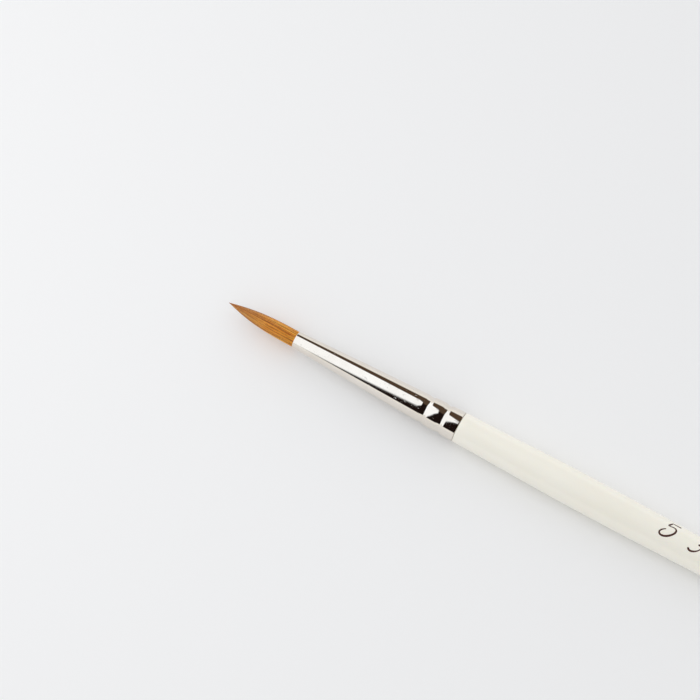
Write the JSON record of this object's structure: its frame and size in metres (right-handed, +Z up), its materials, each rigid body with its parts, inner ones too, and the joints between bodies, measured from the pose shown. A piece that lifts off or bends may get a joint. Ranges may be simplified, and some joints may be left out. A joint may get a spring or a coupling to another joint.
{
  "type": "detail paint brush",
  "caption": "Round pointed hair brush: flexible head, tapered plated ferrule with crimped grooves, lacquered wooden handle that swells and tapers to the tail.",
  "frame": {"origin": "centre of the brush's bounding box, on the surface that it lies on", "axes": "+X along the brush, from the point of the head to the handle's tail; +Z up; +Y to the far side"},
  "size_m": [0.2032, 0.0082, 0.0083],
  "materials": {
    "wood": "matte",
    "lacquer": "gloss",
    "glue": "satin",
    "nickel": "polished",
    "hair": "satin",
    "thread": "matte",
    "resin": "satin",
    "print": "satin"
  },
  "bodies": {
    "brush": {"handle_core": "wood", "handle_lacquer": "lacquer", "tenon_glue": "glue", "ferrule": "nickel", "hair_root": "hair", "binding_thread": "thread", "root_resin": "resin", "size_numeral": "print", "size_curl": "print"},
    "head": {"hair_head": "hair"}
  },
  "joints": [
    {"name": "head_flex", "type": "hinge", "parent": "brush", "child": "head", "pos_m": [-0.08515, 0, 0.00415], "axis": [0, 0, 1], "range_deg": [-50, 50], "stiffness_Nm_per_rad": 0.001}
  ]
}
